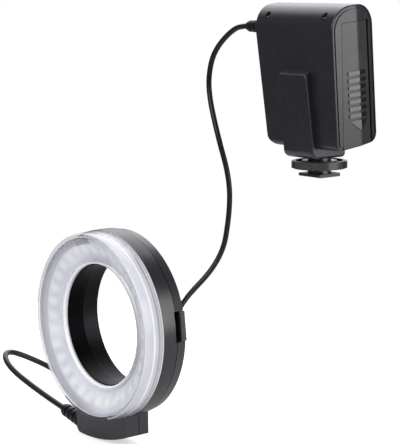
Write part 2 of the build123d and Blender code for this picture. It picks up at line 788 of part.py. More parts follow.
def key(x, height, radius):
    """One key: a crowned cap and the flange that keeps it in the case."""
    low = KEY_BACK - KEY_FLANGE
    cap = rod_y(radius, x, height, KEY_BACK, UNIT_BACK + KEY_PROUD)
    cap = chamfer(cap.edges().filter_by(GeomType.CIRCLE).sort_by(Axis.Y)[-1], 0.3)
    return UNIT * (cap + rod_y(radius + 0.9, x, height, low, KEY_BACK))


def tact_switches():
    """One switch behind each key."""
    return [UNIT * span(x - 2.6, x + 2.6, CONTROL_FACE, SWITCH_FACE, height - 2.6, height + 2.6)
            for x, height, radius in KEYS.values()]


def level_lamps():
    """The row of level lamps, from the board to the panel's face."""
    return [UNIT * rod_y(LAMP_RADIUS - 0.1, x, LAMP_HEIGHT, CONTROL_FACE, UNIT_BACK - 0.1) for x in lamp_places()]


def unit_screws():
    """The two case screws at the bottom of their wells."""
    screws = []
    for x in screw_places():
        screw = rod_y(SCREW_HEAD, x, SCREW_HEIGHT, WELL_FLOOR - 1.6, WELL_FLOOR)
        screw += rod_y(SCREW_SHANK, x, SCREW_HEIGHT, WELL_FLOOR, UNIT_BACK - 1.0)
        slot = span(x - SCREW_HEAD, x + SCREW_HEAD, WELL_FLOOR - 2, WELL_FLOOR - 1.0,
                    SCREW_HEIGHT - 0.25, SCREW_HEIGHT + 0.25)
        screws.append(UNIT * (screw - slot))
    return screws


def unit_strain_relief():
    """The ribbed sleeve on the -X side."""
    return UNIT * UNIT_SLEEVE * sleeve(UNIT_SLEEVE_LENGTH, UNIT_SLEEVE_RADIUS, UNIT_SLEEVE_RIBS)


# Ring head


def diffuser_cover():
    """The clear moulding: outer wall, dished face and inner lip."""
    rear = COVER_DEPTH + 2.0
    inner = COVER_RADIUS - 2.15
    lip = TUBE_RADIUS + TUBE_WALL + 0.1
    edge = outline([
        (COVER_RADIUS, COVER_DEPTH, 0), (RIM, 0, 1.0), (DISH_RIM, 0.1, 1.5),
        (DISH_MIDDLE, 2.5, 20.0), (BORE_RADIUS, DISH_DEPTH, 0.6), (BORE_RADIUS, 9.3, 0), (lip, 9.3, 0),
        (lip, DISH_DEPTH + 1.5, 0), (DISH_MIDDLE + 0.3, 4.6, 20.0), (DISH_RIM - 0.2, 2.3, 0.6), (inner, 3.4, 0),
        (inner, rear, 0), (COVER_RADIUS - 1.1, rear, 0), (COVER_RADIUS - 1.1, COVER_DEPTH, 0),
    ])
    return HEAD * revolve(edge, Axis.Y)


def block_outline(inset):
    """The block under the ring, seen from the front."""
    left = BLOCK_LEFT + inset
    right = BLOCK_RIGHT - inset
    line = Polyline((right, -30), (left, -30), (left, BLOCK_BOTTOM + BLOCK_CORNER + inset))
    corner = TangentArc((left, BLOCK_BOTTOM + BLOCK_CORNER + inset),
                        (left + BLOCK_CORNER, BLOCK_BOTTOM + inset), tangent=(0, -1))
    bottom = ThreePointArc((left + BLOCK_CORNER, BLOCK_BOTTOM + inset), (BLOCK_LOW, BLOCK_BOTTOM + 0.5 + inset),
                           (right, BLOCK_SIDE_BOTTOM + inset))
    side = Line((right, BLOCK_SIDE_BOTTOM + inset), (right, -30))
    return make_face([line, corner, bottom, side])


def block(inset, y0, y1, radius):
    """A slice of the block, outside the given radius."""
    return along_y(block_outline(inset), y0, y1) - rod_y(radius, 0, 0, y0 - 1, y1 + 1)


def button_slot(sign):
    """The opening for one button, through the outer wall and the back."""
    half = BUTTON_HALF + BUTTON_GAP
    far = HEAD_RADIUS + 4
    near = RECESS_RADIUS + RECESS_WALL + 0.1
    return span(min(sign * near, sign * far), max(sign * near, sign * far), BUTTON_RECESS, HEAD_DEPTH + 1, -half, half)


def hook_slot(sign):
    """The way for one hook through the floor and the recess's wall."""
    half = HOOK_HALF + BUTTON_GAP
    near = HOOK_NOSE - 0.6
    far = RECESS_RADIUS + RECESS_WALL + 0.5
    return span(min(sign * near, sign * far), max(sign * near, sign * far), FLOOR_FRONT - 1, GROOVE_BACK + 0.3,
                -half, half)


def clip_turns():
    """The turns of the board's clips round the axis, in degrees."""
    return [CLIP_TURN + clip * 360.0 / CLIP_COUNT for clip in range(CLIP_COUNT)]


def clip():
    """One clip: a leg up from the ledge and a lip over the light board's edge."""
    lip = span(-CLIP_HALF, CLIP_HALF, CLIP_FRONT, BOARD_FRONT - 0.05, CLIP_INNER, HEAD_RADIUS)
    leg = span(-CLIP_HALF, CLIP_HALF, CLIP_FRONT, BOARD_BACK + 0.3, CLIP_LEG, HEAD_RADIUS)
    return (lip + leg) & rod_y(LEDGE_OUTER - 0.05, 0, 0, 0, HEAD_DEPTH)


def clip_notch(inner, depth):
    """The room for one clip in the board or the tray, from the given radius outwards."""
    half = CLIP_HALF + CLIP_GAP
    return span(-half, half, depth, BOARD_BACK + 1, inner - CLIP_GAP, HEAD_RADIUS)


def head_front_housing():
    """The front band with the light board's ledge and clips and the front half of the block."""
    inner = COVER_RADIUS - 2.05
    step = COVER_RADIUS - 1.0
    band = ring([
        (HEAD_RADIUS, COVER_DEPTH), (HEAD_RADIUS + 0.1, COVER_DEPTH + 4), (HEAD_RADIUS, SEAM), (inner, SEAM),
        (inner, LEDGE_BACK), (LEDGE_INNER, LEDGE_BACK), (LEDGE_INNER, BOARD_BACK + 0.05),
        (LEDGE_OUTER, BOARD_BACK + 0.05), (LEDGE_OUTER, LEDGE_BACK - 0.9), (inner, LEDGE_BACK - 0.9),
        (step, COVER_DEPTH + 2.1), (step, COVER_DEPTH),
    ])
    lower = block(0, COVER_DEPTH, SEAM, HEAD_RADIUS - 0.5) - block(WALL, COVER_DEPTH + WALL, SEAM + 1, HEAD_RADIUS)
    body = band + lower - HEAD_SLEEVE * sleeve_seat(HEAD_SLEEVE_RADIUS)
    for angle in HEAD_SCREW_ANGLES:
        post = rod_y(HEAD_BOSS, 0, HEAD_SCREW_CIRCLE, LEDGE_BACK - 0.5, HEAD_DEPTH - 1.9)
        body += Rot(0, angle, 0) * (post - screw_hole())
    for turn in clip_turns():
        body += Rot(0, turn, 0) * clip()
    slots = Rot(0, -BUTTON_TURN, 0) * (button_slot(1) + button_slot(-1))
    return HEAD * (body - slots)


def screw_hole():
    """One head screw's hole."""
    return rod_y(HEAD_SCREW_SHANK + SEATED, 0, HEAD_SCREW_CIRCLE, HEAD_SCREW_DEEP - SEATED, HEAD_DEPTH + 1)


def head_rear_housing():
    """The rear shell: bore, floor, adapter recess, outer wall and the rear half of the block."""
    tube = TUBE_RADIUS + TUBE_WALL
    recess = RECESS_RADIUS + RECESS_WALL
    lap = COVER_RADIUS - 2.15
    wall = HEAD_RADIUS - 3.3
    body = ring([
        (TUBE_RADIUS, TUBE_FRONT), (tube, TUBE_FRONT), (tube, FLOOR_FRONT), (recess, FLOOR_FRONT), (recess, HEAD_DEPTH - 1.8),
        (wall, HEAD_DEPTH - 1.8), (wall, SEAM - 1.4), (lap, SEAM - 1.4), (lap, SEAM), (HEAD_RADIUS, SEAM),
        (HEAD_REAR, HEAD_DEPTH - 0.5), (HEAD_REAR - 0.5, HEAD_DEPTH), (RECESS_RADIUS, HEAD_DEPTH),
        (RECESS_RADIUS, FLOOR_BACK), (TUBE_RADIUS, FLOOR_BACK),
    ])
    lower = block(0, SEAM, HEAD_DEPTH, HEAD_REAR - 1.5) - block(WALL, SEAM - 1, HEAD_DEPTH - WALL, HEAD_RADIUS)
    body += lower
    cuts = button_slot(1) + button_slot(-1) + hook_slot(1) + hook_slot(-1)
    body = body - Rot(0, -BUTTON_TURN, 0) * cuts - HEAD_SLEEVE * sleeve_seat(HEAD_SLEEVE_RADIUS)
    seat = rod_y(HEAD_SCREW_RADIUS + SEATED, 0, HEAD_SCREW_CIRCLE, HEAD_DEPTH - 1.2, HEAD_DEPTH + 1)
    for angle in HEAD_SCREW_ANGLES:
        body -= Rot(0, angle, 0) * (seat + screw_hole())
    return HEAD * body


def led_places():
    """The turns of the diodes round the axis, in degrees."""
    return [LED_TURN + index * 360.0 / LED_COUNT for index in range(LED_COUNT)]


def led_board():
    """The white annular board, notched for the clips."""
    board = ring([(BOARD_INNER, BOARD_FRONT), (BOARD_OUTER, BOARD_FRONT), (BOARD_OUTER, BOARD_BACK),
                  (BOARD_INNER, BOARD_BACK)])
    for turn in clip_turns():
        board -= Rot(0, turn, 0) * clip_notch(CLIP_LEG, BOARD_FRONT - 1)
    return HEAD * board


def leds():
    """The light-emitting diodes on the board."""
    half = LED_SIDE / 2
    chip = span(-half, half, BOARD_FRONT - LED_THICK, BOARD_FRONT, LED_CIRCLE - half, LED_CIRCLE + half)
    return [HEAD * Rot(0, turn, 0) * chip for turn in led_places()]


def reflector_ring():
    """The white tray round the diodes, with a window for each."""
    face = BOARD_FRONT - 0.7
    rim = BOARD_OUTER - 0.5
    tray = ring([
        (BOARD_INNER, BOARD_FRONT - 0.1), (BOARD_INNER, BOARD_FRONT - 1.3), (BOARD_INNER + 0.6, BOARD_FRONT - 1.3),
        (BOARD_INNER + 0.6, face), (rim - 0.4, face), (rim - 0.6, TRAY_FRONT), (rim, TRAY_FRONT),
        (BOARD_OUTER, BOARD_FRONT - 0.1),
    ])
    half = TRAY_WINDOW / 2
    window = span(-half, half, 0, BOARD_FRONT, LED_CIRCLE - half, LED_CIRCLE + half)
    for turn in led_places():
        tray -= Rot(0, turn, 0) * window
    for turn in clip_turns():
        tray -= Rot(0, turn, 0) * clip_notch(CLIP_INNER, 0)
    return HEAD * tray


def adapter_ring():
    """The lens adapter: a grooved flange and the screw end."""
    return HEAD * ring([
        (ADAPTER_BORE, ADAPTER_FRONT), (ADAPTER_RADIUS - 0.6, ADAPTER_FRONT), (ADAPTER_RADIUS, ADAPTER_FRONT + 0.6),
        (ADAPTER_RADIUS, GROOVE_FRONT), (ADAPTER_GROOVE, GROOVE_FRONT + 0.2), (ADAPTER_GROOVE, GROOVE_BACK - 0.2),
        (ADAPTER_RADIUS, GROOVE_BACK), (ADAPTER_RADIUS, ADAPTER_BACK), (THREAD_RADIUS, ADAPTER_BACK),
        (THREAD_RADIUS, ADAPTER_BACK + THREAD_LENGTH), (ADAPTER_BORE + 1.6, ADAPTER_BACK + THREAD_LENGTH),
        (ADAPTER_BORE + 1.6, ADAPTER_FRONT + 2), (ADAPTER_BORE, ADAPTER_FRONT + 2),
    ])


def release_slide(level, sign):
    """One button with its plate round the bore and its hook on the far side."""
    back = level + SLIDE_THICK
    plate = rod_y(SLIDE_OUTER, 0, 0, level, back) - rod_y(SLIDE_INNER, 0, 0, level - 1, back + 1)
    arm = span(SLIDE_INNER + 3, LEG_BACK, level, back, -LEG_OUTER, LEG_OUTER)
    window = span(HOOK_INNER - 0.2, LEG_BACK + 1, level - 1, back + 1, -HOOK_HALF - BUTTON_GAP, HOOK_HALF + BUTTON_GAP)
    slide = plate + arm - window
    for side in (-1, 1):
        low, high = sorted((side * LEG_INNER, side * LEG_OUTER))
        slide += span(BUTTON_BOTTOM, LEG_BACK, level, BUTTON_FRONT + 0.5, low, high)
    head = span(BUTTON_BOTTOM, BUTTON_FACE - 0.5, BUTTON_FRONT, BUTTON_BACK, -BUTTON_HALF, BUTTON_HALF)
    for rib in range(BUTTON_RIBS):
        middle = (rib - (BUTTON_RIBS - 1) / 2) * 2 * (BUTTON_HALF - 0.6) / BUTTON_RIBS
        head += span(BUTTON_FACE - 1, BUTTON_FACE, BUTTON_FRONT + 0.3, BUTTON_BACK - 0.3, middle - 0.45, middle + 0.45)
    head -= along_x(Pos(BUTTON_MIDDLE, 0) * Circle(1.5), BUTTON_BOTTOM - 1, BUTTON_BOTTOM + 3)
    slide += head
    slide += span(-HOOK_OUTER, -SLIDE_INNER - 3, level, back, -HOOK_HALF, HOOK_HALF)
    slide += span(-HOOK_OUTER, -HOOK_INNER, level, GROOVE_BACK - 0.2, -HOOK_HALF, HOOK_HALF)
    slide += span(-HOOK_OUTER, -HOOK_NOSE, GROOVE_FRONT + 0.3, GROOVE_BACK - 0.3, -HOOK_HALF, HOOK_HALF)
    if sign < 0:
        slide = Rot(0, 180, 0) * slide
    return BUTTONS * slide


def release_springs():
    """The spring behind each button."""
    low = RECESS_RADIUS + RECESS_WALL + 0.45
    length = BUTTON_BOTTOM + 3 - 0.45 - low
    spring = Pos(low, BUTTON_MIDDLE, 0) * Rot(0, 90, 0) * coil(RELEASE_SPRING, RELEASE_WIRE, length, 4)
    return [BUTTONS * spring, BUTTONS * Rot(0, 180, 0) * spring]


def head_screws():
    """The screws that hold the two housings together."""
    screws = []
    for angle in HEAD_SCREW_ANGLES:
        screw = rod_y(HEAD_SCREW_RADIUS, 0, HEAD_SCREW_CIRCLE, HEAD_DEPTH - 1.2, HEAD_DEPTH - HEAD_SCREW_FACE)
        screw += rod_y(HEAD_SCREW_SHANK, 0, HEAD_SCREW_CIRCLE, HEAD_SCREW_DEEP, HEAD_DEPTH - 1.2)
        screws.append(HEAD * Rot(0, angle, 0) * screw)
    return screws


def head_strain_relief():
    """The ribbed sleeve at the block's far end."""
    return HEAD * HEAD_SLEEVE * sleeve(HEAD_SLEEVE_LENGTH, HEAD_SLEEVE_RADIUS, HEAD_SLEEVE_RIBS)


# Cord


def cord_route():
    """The cord's corners, from the unit's strain relief to the head's."""
    start = UNIT * UNIT_SLEEVE * Pos(0, UNIT_SLEEVE_LENGTH, 0)
    end = HEAD * HEAD_SLEEVE * Pos(0, HEAD_SLEEVE_LENGTH, 0)
    last = end * Pos(0, HEAD_SLEEVE_RUN, 0)
    top = start.position
    return [
        top, Vector(top.X - 4, top.Y, top.Z), (-62.6, -13.6, 87.3), (-77.4, -13.8, 77.1), (-85.7, -13.9, 65.7),
        (-89, -13.5, 47.5), (-76, -16.5, 20), (-69.5, -12.5, -6.5), (-70.5, -11.5, -29), (-74, -15.5, -60),
        (-85.7, -43, -87.9), (-62.6, -66, -102.1), (-44.8, -90, -118.7), (-37.7, -112, -128.2),
        (-53.4, -124, -132.9), (-80.3, -124, -127.3), (-102.4, -122, -122), (-113, -125, -117.5),
        (-120.5, -149.5, -104.5), (-101.5, -161.5, -109.5), last.position, end.position,
    ]


def cord_radii(route):
    """Each corner's radius, so that its arc takes a share of the shorter run beside it."""
    points = [Vector(*point) for point in route]
    radii = []
    for before, here, after in zip(points, points[1:], points[2:]):
        turn = math.radians((here - before).get_angle(after - here))
        shorter = min((here - before).length, (after - here).length)
        radii.append(CORD_BEND * shorter / math.tan(turn / 2))
    return radii


def cord():
    """The round cord, and a print of its bends, length and volume."""
    route = cord_route()
    radii = cord_radii(route)
    line = FilletPolyline(*route, radius=radii)
    section = Plane(origin=line @ 0, z_dir=line % 0) * Circle(CORD_RADIUS)
    body = sweep(section, line)
    expected = math.pi * CORD_RADIUS ** 2 * line.length
    print("cord: bends", [round(radius, 1) for radius in radii], "length", round(line.length, 1))
    print("cord: volume", round(body.volume, 1), "against section times length", round(expected, 1))
    return body


def build():
    """Every node by its name."""
    shell = unit_shell()
    nodes = {
        "shoe_foot": shoe_foot(),
        "sync_pin": sync_pin(),
        "pin_spring": pin_spring(),
        "pressure_plate": pressure_plate(),
        "locking_wheel": locking_wheel(),
        "unit_front_shell": unit_front_shell(shell),
        "unit_rear_shell": unit_rear_shell(shell),
        "battery_door": battery_door() + door_pads(),
        "door_pin": door_pin(),
        "battery_tray": battery_tray(),
        "battery_cells": battery_cells(),
        "cell_contacts": cell_contacts(),
        "door_contacts": door_contacts(),
        "main_board": main_board(),
        "control_board": control_board(),
        "capacitor": capacitor(),
        "control_panel": control_panel(),
        "tact_switches": tact_switches(),
        "level_lamps": level_lamps(),
        "unit_screws": unit_screws(),
        "unit_strain_relief": unit_strain_relief(),
        "diffuser_cover": diffuser_cover(),
        "head_front_housing": head_front_housing(),
        "head_rear_housing": head_rear_housing(),
        "led_board": led_board(),
        "leds": leds(),
        "reflector_ring": reflector_ring(),
        "adapter_ring": adapter_ring(),
        "release_slide_right": release_slide(SLIDE_LEVELS["release_slide_right"], 1),
        "release_slide_left": release_slide(SLIDE_LEVELS["release_slide_left"], -1),
        "release_springs": release_springs(),
        "head_screws": head_screws(),
        "head_strain_relief": head_strain_relief(),
        "cord": cord(),
    }
    for name, (x, height, radius) in KEYS.items():
        nodes[name] = key(x, height, radius)
    return nodes


os.makedirs("parts", exist_ok=True)
for node_name, shape in build().items():
    solids = shape if isinstance(shape, list) else shape.solids()
    whole = solids[0] if len(solids) == 1 else Compound(children=list(solids))
    export_step(whole, f"parts/{node_name}.step")
    print(node_name, len(solids), "solids", round(sum(s.volume for s in solids), 1), "mm3")
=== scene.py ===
"""Looks for the macro ring flash: finishes for its plastic, rubber and metal pieces, and a soft studio."""

import math

import bpy
import numpy as np
from mathutils import Matrix, Vector


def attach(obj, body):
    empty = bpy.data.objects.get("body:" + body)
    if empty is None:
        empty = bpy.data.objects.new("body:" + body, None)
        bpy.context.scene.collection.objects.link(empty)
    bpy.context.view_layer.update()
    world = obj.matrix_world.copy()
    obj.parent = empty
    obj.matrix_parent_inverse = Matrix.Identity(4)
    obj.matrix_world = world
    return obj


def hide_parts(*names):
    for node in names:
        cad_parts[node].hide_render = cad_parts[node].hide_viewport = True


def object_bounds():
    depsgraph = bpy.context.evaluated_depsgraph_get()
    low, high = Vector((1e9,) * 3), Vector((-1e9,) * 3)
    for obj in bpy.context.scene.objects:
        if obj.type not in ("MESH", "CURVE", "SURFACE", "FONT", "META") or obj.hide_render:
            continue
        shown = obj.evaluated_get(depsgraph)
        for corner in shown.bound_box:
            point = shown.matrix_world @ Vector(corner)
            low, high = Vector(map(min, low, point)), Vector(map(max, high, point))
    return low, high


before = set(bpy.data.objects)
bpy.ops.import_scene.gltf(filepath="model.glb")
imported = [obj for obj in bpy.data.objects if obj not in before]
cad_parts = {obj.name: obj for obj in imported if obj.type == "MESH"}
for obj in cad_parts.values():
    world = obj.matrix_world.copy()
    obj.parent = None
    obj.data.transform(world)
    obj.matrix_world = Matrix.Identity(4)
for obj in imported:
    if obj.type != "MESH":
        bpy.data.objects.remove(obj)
cad_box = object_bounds()

MM = 0.001
PER_METRE = 1000.0

# Ring head: its front rim and axis in metres, its turns in degrees, its radii and depths in millimetres
RING_FRONT = -0.1708
RING_AXIS = -0.0679
LED_COUNT = 32
LED_TURN = -1.0
LED_CIRCLE = 42.1
CLIP_COUNT = 6
CLIP_TURN = -12.0
BORE_RADIUS = 44.0
SEAM_FRONT = 20.3
SEAM_BACK = 20.8

# The dish's middle surface: its depth at the diodes' circle, and its slopes inside and outside that circle
DISH_DEPTH = 3.5
DISH_INNER_SLOPE = 0.563
DISH_OUTER_SLOPE = 0.36

# Unit: its lean in degrees, the door's foot and crease in millimetres, its taper and its facets' slopes
LEAN = 5.5
DOOR_SIDE = (31.4, 0.0, 18.6)
DOOR_TAPER = 2.6 / 84.2
CREASE = 6.8
FRONT_SLOPE = 1.7 / 18.8
REAR_SLOPE = 1.85 / 14.4

# Stage, in metres and degrees, with the lens in millimetres
FLOOR_RADIUS = 0.34
FLOOR_MIDDLE = (-0.03, -0.08)
FLOOR_GAP = 0.0005
CAMERA_PLACE = (0.71132, -0.66534, 0.12515)
CAMERA_TURN = 51.16
CAMERA_RISE = 8.93
CAMERA_ROLL = -0.53
CAMERA_LENS = 131.77


# Surfaces


def placed(piece):
    """Links a new object to the scene."""
    bpy.context.scene.collection.objects.link(piece)
    return piece


def mesh_piece(name, points, faces, finish, smooth=True):
    """A piece from an array of points and an array of faces."""
    mesh = bpy.data.meshes.new(name)
    mesh.from_pydata(np.asarray(points).reshape(-1, 3).tolist(), [], np.asarray(faces).tolist())
    mesh.polygons.foreach_set("use_smooth", np.full(len(mesh.polygons), smooth))
    mesh.materials.append(finish)
    mesh.update()
    return placed(bpy.data.objects.new(name, mesh))


def grid_faces(rows, columns, closed=False):
    """Quads that join neighbours of a grid, closed across its columns, and across its rows if asked."""
    row = np.arange(rows if closed else rows - 1)
    i, j = np.meshgrid(row, np.arange(columns), indexing="ij")
    i2, j2 = (i + 1) % rows, (j + 1) % columns
    corners = (i * columns + j, i * columns + j2, i2 * columns + j2, i2 * columns + j)
    return np.stack(corners, -1).reshape(-1, 4)


def turned(name, profile, finish, steps=256):
    """A profile of radius and depth in millimetres carried round the ring's axis.

    x = r sin t, z = r cos t + axis, y = depth + front.
    """
    profile = np.asarray(profile, float) * MM
    t = np.linspace(0, 2 * np.pi, steps, endpoint=False)
    radius, depth = profile[:, 0][:, None], profile[:, 1][:, None]
    x = radius * np.sin(t)
    z = radius * np.cos(t) + RING_AXIS
    y = depth + RING_FRONT + 0 * t
    return mesh_piece(name, np.stack([x, y, z], -1), grid_faces(len(profile), steps, closed=True), finish)


def rounded_profile(corners, steps=8):
    """Points along rows of radius, depth and corner radius, with each corner made a curve of a few points.

    The curve is (1 - s)(1 - s) first + 2 s (1 - s) corner + s s last.
    """
    corners = np.asarray(corners, float)
    here, size = corners[:, :2], corners[:, 2]
    before, after = np.roll(here, 1, 0), np.roll(here, -1, 0)
    out = []
    s = np.linspace(0, 1, steps)[:, None]
    for p, a, b, r in zip(here, before, after, size):
        if r <= 0:
            out.append(p[None])
            continue
        to_a, to_b = a - p, b - p
        la, lb = np.linalg.norm(to_a), np.linalg.norm(to_b)
        cut = min(r, 0.45 * la, 0.45 * lb)
        first, last = p + to_a / la * cut, p + to_b / lb * cut
        out.append((1 - s) ** 2 * first + 2 * s * (1 - s) * p + s ** 2 * last)
    return np.concatenate(out)


# Shader nodes


class Sheet:
    """The nodes of one material or group, placed and joined by short calls."""

    def __init__(self, tree):
        self.tree = tree

    def feed(self, socket, value):
        """Links a node's output to a socket, or sets the socket to a plain value."""
        if isinstance(value, bpy.types.NodeSocket):
            self.tree.links.new(value, socket)
        else:
            socket.default_value = value

    def add(self, kind, sockets=None, **settings):
        """A node with its settings and what its named sockets get."""
        node = self.tree.nodes.new(kind)
        for name, value in settings.items():
            setattr(node, name, value)
        for name, value in (sockets or {}).items():
            self.feed(node.inputs[name], value)
        return node

    def point(self):
        """The place on the object, in metres."""
        return self.add("ShaderNodeTexCoord").outputs["Object"]

    def noise(self, place, scale, **sockets):
        """A noise value over the surface."""
        values = {label.title(): value for label, value in sockets.items()}
        return self.add("ShaderNodeTexNoise", {"Vector": place, "Scale": scale, **values}).outputs["Fac"]

    def math(self, operation, a, b=0.0, c=0.0):
        """The result of one Math node."""
        node = self.add("ShaderNodeMath", operation=operation)
        for socket, value in zip(node.inputs, (a, b, c)):
            self.feed(socket, value)
        return node.outputs[0]

    def product(self, *values):
        """Several values multiplied."""
        result = values[0]
        for value in values[1:]:
            result = self.math("MULTIPLY", result, value)
        return result

    def range(self, value, low, high, to_low=0.0, to_high=1.0):
        """A smooth step from one result to another as a value goes from low to high."""
        limits = {"From Min": low, "From Max": high, "To Min": to_low, "To Max": to_high}
        node = self.add("ShaderNodeMapRange", {"Value": value, **limits}, interpolation_type="SMOOTHSTEP")
        return node.outputs["Result"]

    def band(self, value, low, high, soft):
        """1 between two values, 0 outside, with soft edges."""
        above = self.range(value, low - soft, low + soft)
        below = self.range(value, high + soft, high - soft)
        return self.product(above, below)

    def length(self, a, b):
        """The square root of a a + b b."""
        return self.math("SQRT", self.math("ADD", self.product(a, a), self.product(b, b)))

    def mix(self, factor, a, b):
        """One colour to another by a factor; a colour has three parts or is an output."""
        node = self.add("ShaderNodeMix", data_type="RGBA")
        for socket, value in ((node.inputs[0], factor), (node.inputs[6], a), (node.inputs[7], b)):
            self.feed(socket, (*value, 1) if isinstance(value, tuple) else value)
        return node.outputs[2]

    def along(self, vector, way):
        """How far a vector reaches along a direction."""
        node = self.add("ShaderNodeVectorMath", operation="DOT_PRODUCT")
        self.feed(node.inputs[0], vector)
        self.feed(node.inputs[1], way)
        return node.outputs["Value"]

    def ramp(self, value, stops, span=100.0):
        """Colours along a value, from rows of value and grey or colour, with every value under the span."""
        node = self.add("ShaderNodeValToRGB", {"Fac": self.math("MULTIPLY", value, 1 / span)})
        points = node.color_ramp.elements
        while len(points) < len(stops):
            points.new(0.5)
        for point, (at, _) in zip(points, stops):
            point.position = at / span
        for point, (_, colour) in zip(points, stops):
            point.color = (*colour, 1) if isinstance(colour, tuple) else (colour, colour, colour, 1)
        return node.outputs["Color"]

    def relief(self, shader, height, strength, distance=0.0001):
        """Small relief from a height, given to the shader's normal."""
        bump = self.add("ShaderNodeBump", {"Strength": strength, "Distance": distance, "Height": height})
        self.feed(shader.inputs["Normal"], bump.outputs["Normal"])

    def joined(self, outputs):
        """Gives a group's outputs their values."""
        end = self.add("NodeGroupOutput")
        for name, value in outputs.items():
            self.feed(end.inputs[name], value)


def group(name, inputs, outputs):
    """A shader node group with its named number sockets."""
    made = bpy.data.node_groups.new(name, "ShaderNodeTree")
    for label, value in inputs.items():
        socket = made.interface.new_socket(name=label, in_out="INPUT", socket_type="NodeSocketFloat")
        socket.default_value = value
    for label in outputs:
        made.interface.new_socket(name=label, in_out="OUTPUT", socket_type="NodeSocketFloat")
    return made


def moulded_grain():
    """Fine spark-eroded grain with slow changes of gloss and tone, as on moulded housings."""
    made = group("moulded_grain", {"Grain Scale": 5200.0, "Handling": 0.5}, ("Height", "Gloss", "Tone"))
    nodes = Sheet(made)
    start = nodes.add("NodeGroupInput")
    place = nodes.point()
    grain = nodes.noise(place, start.outputs["Grain Scale"], detail=2.0)
    slow = nodes.noise(place, 38.0, detail=3.0, roughness=0.6)
    wipe = nodes.noise(place, 160.0, detail=4.0, roughness=0.7)
    gloss = nodes.product(nodes.math("SUBTRACT", wipe, 0.5), start.outputs["Handling"])
    nodes.joined({"Height": grain, "Gloss": gloss, "Tone": slow})
    return made


def ring_place():
    """Radius from the ring's axis, depth behind its rim, turn round it and distance to the nearest clip.

    Lengths are in millimetres: radius = sqrt(x x + z z), turn = atan2(x, z) / 2 pi, clip = angle radius.
    """
    made = group("ring_place", {}, ("Radius", "Depth", "Turn", "Clip"))
    nodes = Sheet(made)
    apart = nodes.add("ShaderNodeSeparateXYZ", {"Vector": nodes.point()})
    x = nodes.math("MULTIPLY", apart.outputs["X"], PER_METRE)
    z = nodes.math("MULTIPLY_ADD", apart.outputs["Z"], PER_METRE, -RING_AXIS * PER_METRE)
    depth = nodes.math("MULTIPLY_ADD", apart.outputs["Y"], PER_METRE, -RING_FRONT * PER_METRE)
    radius = nodes.length(x, z)
    turn = nodes.math("DIVIDE", nodes.math("ARCTAN2", x, z), 2 * math.pi)
    shift = CLIP_COUNT * (1 - CLIP_TURN / 360) + 0.5
    part = nodes.math("FRACT", nodes.math("MULTIPLY_ADD", turn, CLIP_COUNT, shift))
    pitch = 2 * math.pi / CLIP_COUNT
    aside = nodes.math("ABSOLUTE", nodes.math("MULTIPLY_ADD", part, pitch, -pitch / 2))
    nodes.joined({"Radius": radius, "Depth": depth, "Turn": turn, "Clip": nodes.product(aside, radius)})
    return made


GRAIN = moulded_grain()
RING = ring_place()


# Finishes


def material(name, colour, **sockets):
    """A material with its Principled shader and plain constants on that shader's own sockets."""
    made = bpy.data.materials.new(name)
    made.use_nodes = True
    made.diffuse_color = (*colour, 1)
    shader = made.node_tree.nodes["Principled BSDF"]
    shader.inputs["Base Color"].default_value = (*colour, 1)
    for label, value in sockets.items():
        shader.inputs[label.replace("_", " ").title().replace("Ior", "IOR")].default_value = value
    return made, Sheet(made.node_tree), shader


def moulded(name, colour, lighter, roughness, bump=0.12, scale=5200.0, handling=0.10, **sockets):
    """Moulded plastic: grained, with slow tone and gloss changes."""
    made, nodes, shader = material(name, colour, **sockets)
    grain = nodes.add("ShaderNodeGroup", node_tree=GRAIN)
    nodes.feed(grain.inputs["Grain Scale"], scale)
    nodes.feed(grain.inputs["Handling"], handling)
    tone = nodes.range(grain.outputs["Tone"], 0.35, 0.7)
    nodes.feed(shader.inputs["Base Color"], nodes.mix(tone, colour, lighter))
    nodes.feed(shader.inputs["Roughness"], nodes.math("ADD", grain.outputs["Gloss"], roughness))
    nodes.relief(shader, grain.outputs["Height"], bump)
    return made


def rubber(name, colour, lighter, roughness):
    """Smooth extruded rubber, with less sheen than the mouldings."""
    return moulded(name, colour, lighter, roughness, bump=0.05, scale=2600.0, handling=0.18,
                   specular_ior_level=0.25)


def turned_metal(name, colour, lighter, roughness):
    """Machined metal: noise that is finer along Y than across it makes turning lines."""
    finer = 60.0
    made, nodes, shader = material(name, colour, metallic=1.0)
    stretch = nodes.add("ShaderNodeMapping", {"Vector": nodes.point(), "Scale": (1.0, finer, 1.0)})
    wave = nodes.noise(stretch.outputs["Vector"], 150.0, detail=2.0)
    grain = nodes.add("ShaderNodeGroup", node_tree=GRAIN)
    nodes.feed(shader.inputs["Base Color"], nodes.mix(wave, colour, lighter))
    gloss = nodes.math("ADD", nodes.math("MULTIPLY", grain.outputs["Gloss"], 0.4), roughness)
    nodes.feed(shader.inputs["Roughness"], gloss)
    nodes.relief(shader, wave, 0.1, 0.00005)
    return made


